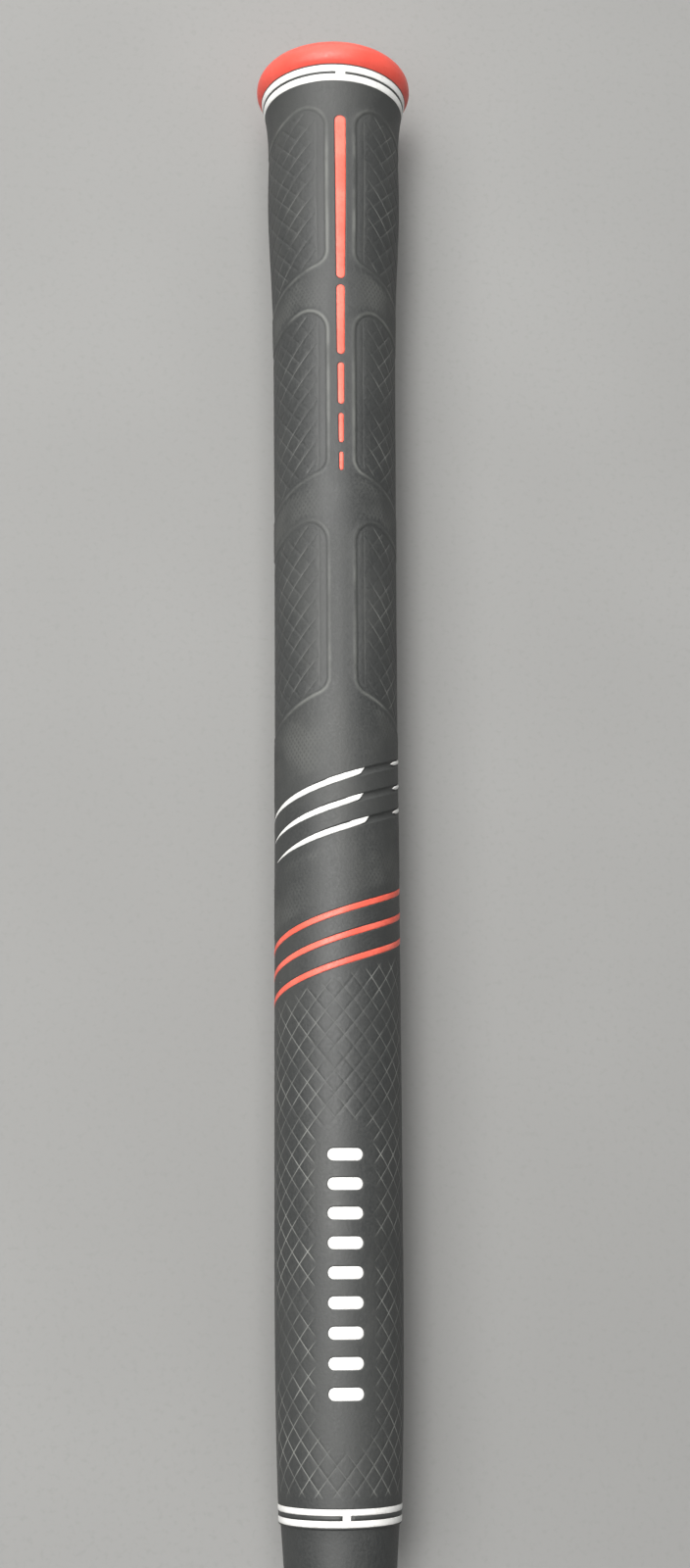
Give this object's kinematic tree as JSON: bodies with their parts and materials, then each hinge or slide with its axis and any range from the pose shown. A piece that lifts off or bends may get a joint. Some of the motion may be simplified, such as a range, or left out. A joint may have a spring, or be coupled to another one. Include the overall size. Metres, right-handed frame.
{
  "type": "golf grip",
  "caption": "Round tapered rubber golf grip with a flared butt cap, moulded grip panels, crosshatch and paint-filled dashes, stripes and rings.",
  "frame": {"origin": "on the grip's axis in the plane of the mouth, where the shaft enters", "axes": "+Y along the axis from the mouth to the butt cap, +Z out of the front that carries the alignment dashes, +X to the right seen from the front with the cap up"},
  "size_m": [0.0286, 0.267, 0.0286],
  "materials": {
    "sleeve_rubber": "matte moulded rubber",
    "core_plastic": "hard moulded polymer",
    "cap_rubber": "smooth satin red",
    "red_paint": "satin paint fill",
    "white_paint": "satin paint fill"
  },
  "bodies": {
    "root": {"rubber_sleeve": "sleeve_rubber", "inner_core": "core_plastic", "butt_cap": "cap_rubber", "alignment_dash_1": "red_paint", "alignment_dash_2": "red_paint", "alignment_dash_3": "red_paint", "alignment_dash_4": "red_paint", "alignment_dash_5": "red_paint", "gauge_bar_1": "white_paint", "gauge_bar_2": "white_paint", "gauge_bar_3": "white_paint", "gauge_bar_4": "white_paint", "gauge_bar_5": "white_paint", "gauge_bar_6": "white_paint", "gauge_bar_7": "white_paint", "gauge_bar_8": "white_paint", "gauge_bar_9": "white_paint", "red_stripe_1": "red_paint", "red_stripe_2": "red_paint", "red_stripe_3": "red_paint", "white_stripe_1": "white_paint", "white_stripe_2": "white_paint", "white_stripe_3": "white_paint", "mouth_ring": "white_paint", "cap_ring": "white_paint"}
  },
  "joints": []
}
